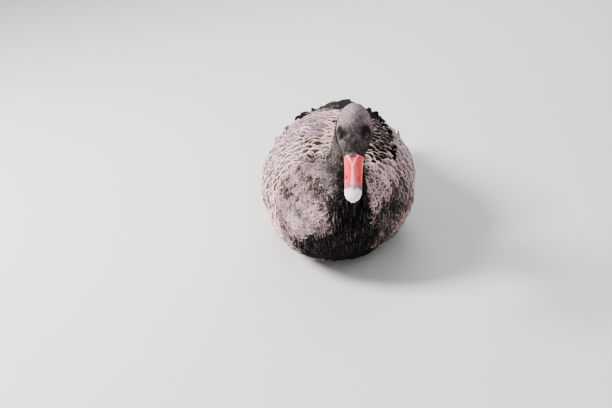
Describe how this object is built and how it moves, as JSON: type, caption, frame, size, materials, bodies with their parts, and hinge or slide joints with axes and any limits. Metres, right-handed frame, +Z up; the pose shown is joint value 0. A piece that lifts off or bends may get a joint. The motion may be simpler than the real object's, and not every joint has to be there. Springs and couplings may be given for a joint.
{
  "type": "black swan",
  "caption": "Still, life-size black swan floating at rest with folded ruffled wings, curved neck and lowered red bill, sitting on its belly.",
  "frame": {"origin": "middle of the flat under the belly, on the floor", "axes": "+Z up, -Y the way the swan faces, +X its left side"},
  "size_m": [0.3222, 0.7629, 0.3802],
  "materials": {
    "body_plumage": "soft, dark grey-brown feathers with pale fringes",
    "neck_plumage": "short, soft, near-black feathers",
    "wing_plumage": "smooth sooty to mauve-grey vanes with pale edges, the ruffled ones black",
    "bill": "waxy red horn with a pale band near the tip",
    "eye": "polished, very dark brown",
    "leg_skin": "dull, scaly, grey-black skin"
  },
  "bodies": {
    "root": {"torso": "body_plumage", "neck_lower": "neck_plumage", "neck_middle": "neck_plumage", "neck_upper": "neck_plumage", "head": "neck_plumage", "bill_upper": "bill", "bill_lower": "bill", "eye_left": "eye", "eye_right": "eye", "wing_left": "wing_plumage", "wing_right": "wing_plumage", "tail": "wing_plumage", "shin_left": "body_plumage", "tarsus_left": "leg_skin", "shin_right": "body_plumage", "tarsus_right": "leg_skin", "foot_left": "leg_skin", "foot_right": "leg_skin"}
  },
  "joints": []
}
